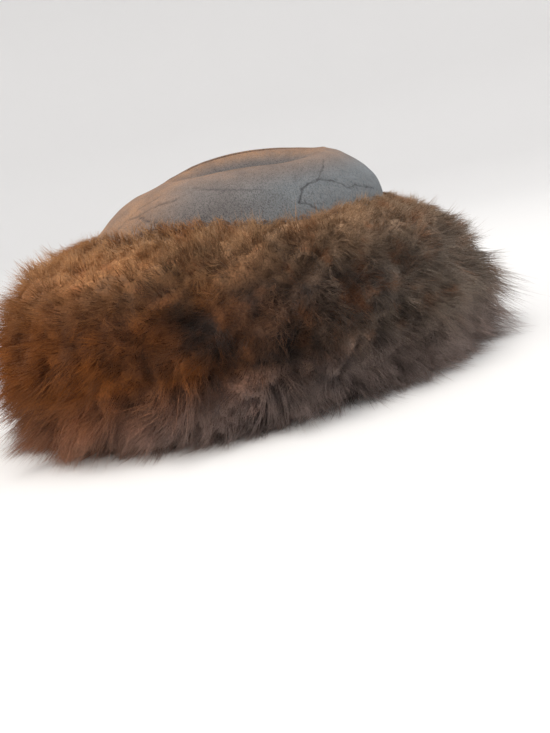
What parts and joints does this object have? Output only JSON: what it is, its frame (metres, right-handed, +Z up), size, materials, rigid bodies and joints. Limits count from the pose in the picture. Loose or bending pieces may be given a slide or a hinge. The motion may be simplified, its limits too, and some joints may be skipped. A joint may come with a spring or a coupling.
{
  "type": "sheepskin hat with fur cuff",
  "caption": "Soft suede hat with a rounded crown, a sunken oval top and a deep turned-up cuff of long brown wool fur, open underneath for the head.",
  "frame": {"origin": "on the surface that the hat rests on, under the middle of its footprint", "axes": "+Z up, -Y to the wearer's front, +X to the wearer's left"},
  "size_m": [0.3162, 0.376, 0.154],
  "materials": {
    "suede": "matte grey suede with a short mottled nap",
    "fur": "long brown wool fur in soft pointed locks"
  },
  "bodies": {
    "root": {"crown_side": "suede", "crown_top": "suede", "fur_cuff": "fur"}
  },
  "joints": []
}
